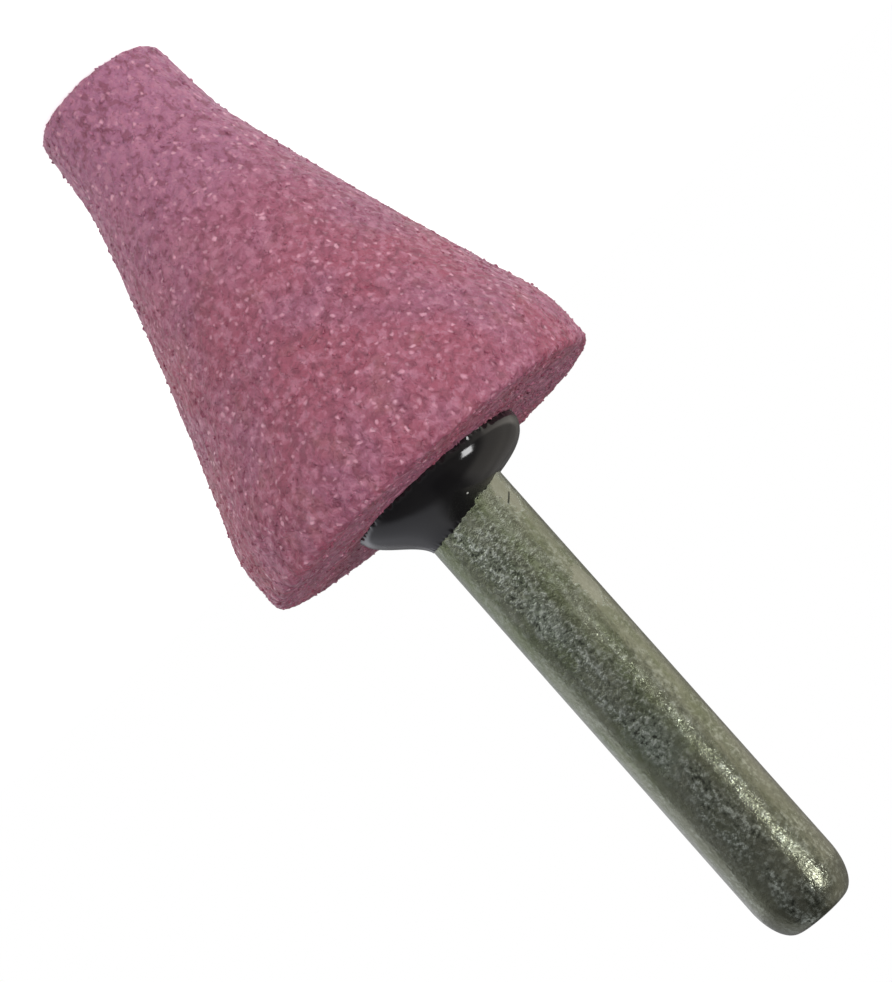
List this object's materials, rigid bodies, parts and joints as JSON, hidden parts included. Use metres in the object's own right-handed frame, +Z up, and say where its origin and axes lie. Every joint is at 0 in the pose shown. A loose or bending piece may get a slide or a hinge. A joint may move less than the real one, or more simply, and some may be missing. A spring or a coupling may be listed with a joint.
{
  "type": "mounted point",
  "caption": "Cone-shaped abrasive grinding head with a blunt nose, cemented with black epoxy onto a plain round steel shank for a die grinder.",
  "frame": {"origin": "middle of the nose's flat end, which the point stands on", "axes": "+Z up the tool's axis, from the nose towards the free end of the shank; +X towards the side where the epoxy climbs highest"},
  "size_m": [0.0254, 0.0254, 0.0674],
  "materials": {
    "abrasive": "coarse vitrified pink aluminium-oxide grain, matt with small glints",
    "epoxy": "glossy black epoxy, cured as it flowed",
    "steel": "dull, mottled zinc-plated steel with a greenish cast"
  },
  "bodies": {
    "root": {"abrasive_head": "abrasive", "cement_collar": "epoxy", "steel_shank": "steel"}
  },
  "joints": []
}
